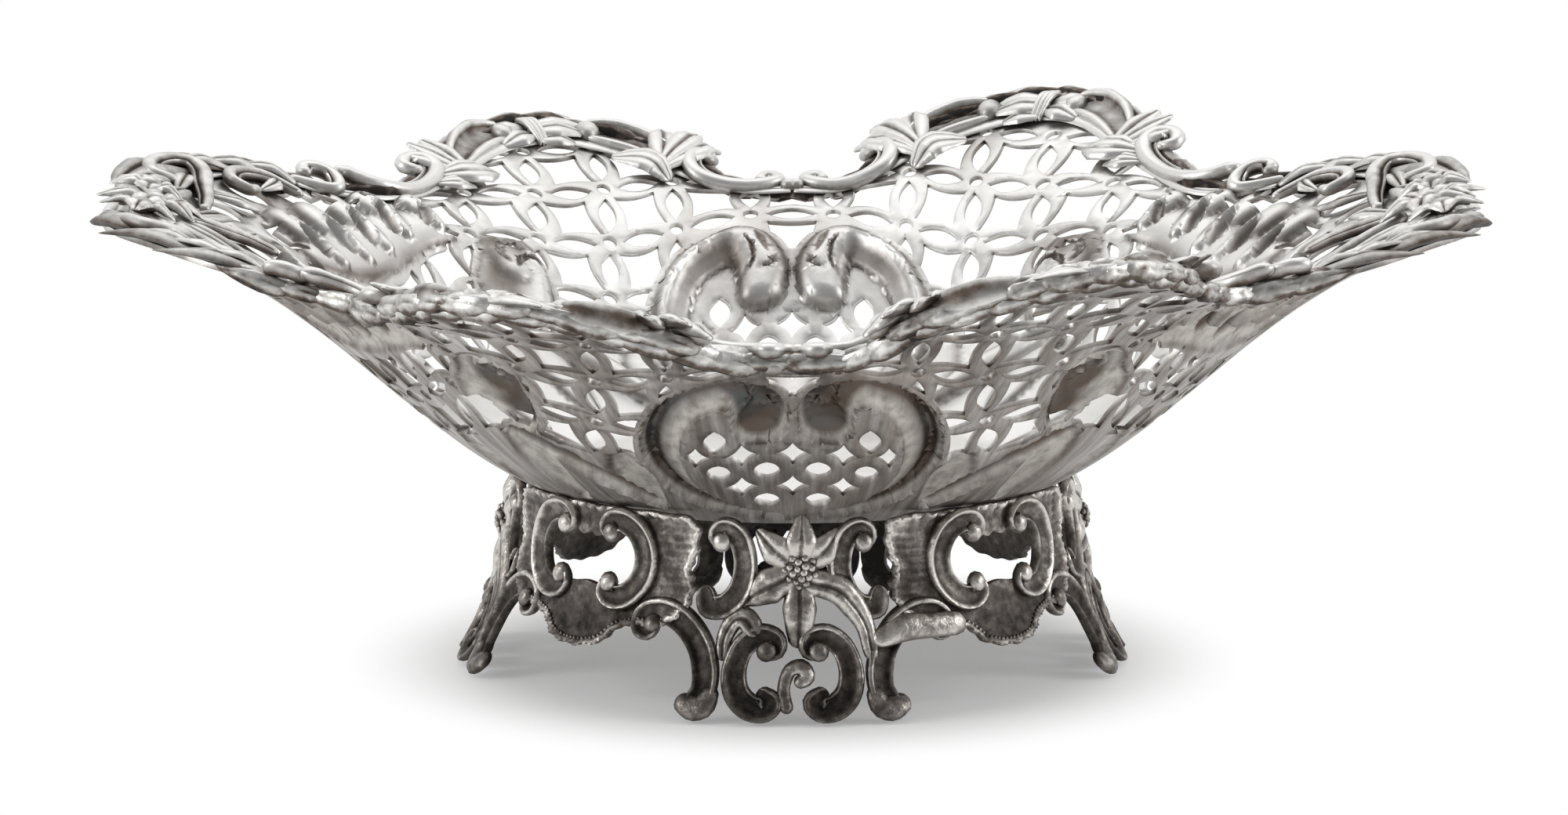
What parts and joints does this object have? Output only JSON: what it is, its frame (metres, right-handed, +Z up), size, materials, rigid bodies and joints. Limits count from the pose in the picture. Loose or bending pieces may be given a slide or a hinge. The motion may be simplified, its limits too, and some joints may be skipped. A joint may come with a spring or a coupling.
{
  "type": "footed pierced sweetmeat basket",
  "caption": "Oval silver basket with a pierced and embossed flaring bowl, cast scroll and flower borders and a ring foot of pierced castings.",
  "frame": {"origin": "on the table, under the middle of the foot", "axes": "+X along the length towards the right end, +Y across towards the back, +Z up"},
  "size_m": [0.198, 0.165, 0.0705],
  "materials": {
    "silver_sheet": "hand polished sterling silver sheet, tarnished in the hollows",
    "silver_border": "cast silver, bright on the crests and dark in the recesses",
    "silver_foot": "cast silver with a grainy, pitted and darkly tarnished skin"
  },
  "bodies": {
    "root": {"bowl": "silver_sheet", "side_border_back_right": "silver_border", "side_border_back_left": "silver_border", "side_border_front_right": "silver_border", "side_border_front_left": "silver_border", "end_border_right": "silver_border", "end_border_left": "silver_border", "flower_spray_right": "silver_border", "flower_spray_left": "silver_border", "leg_front": "silver_foot", "leg_right": "silver_foot", "leg_back": "silver_foot", "leg_left": "silver_foot", "panel_front_right": "silver_foot", "panel_back_right": "silver_foot", "panel_back_left": "silver_foot", "panel_front_left": "silver_foot"}
  },
  "joints": []
}
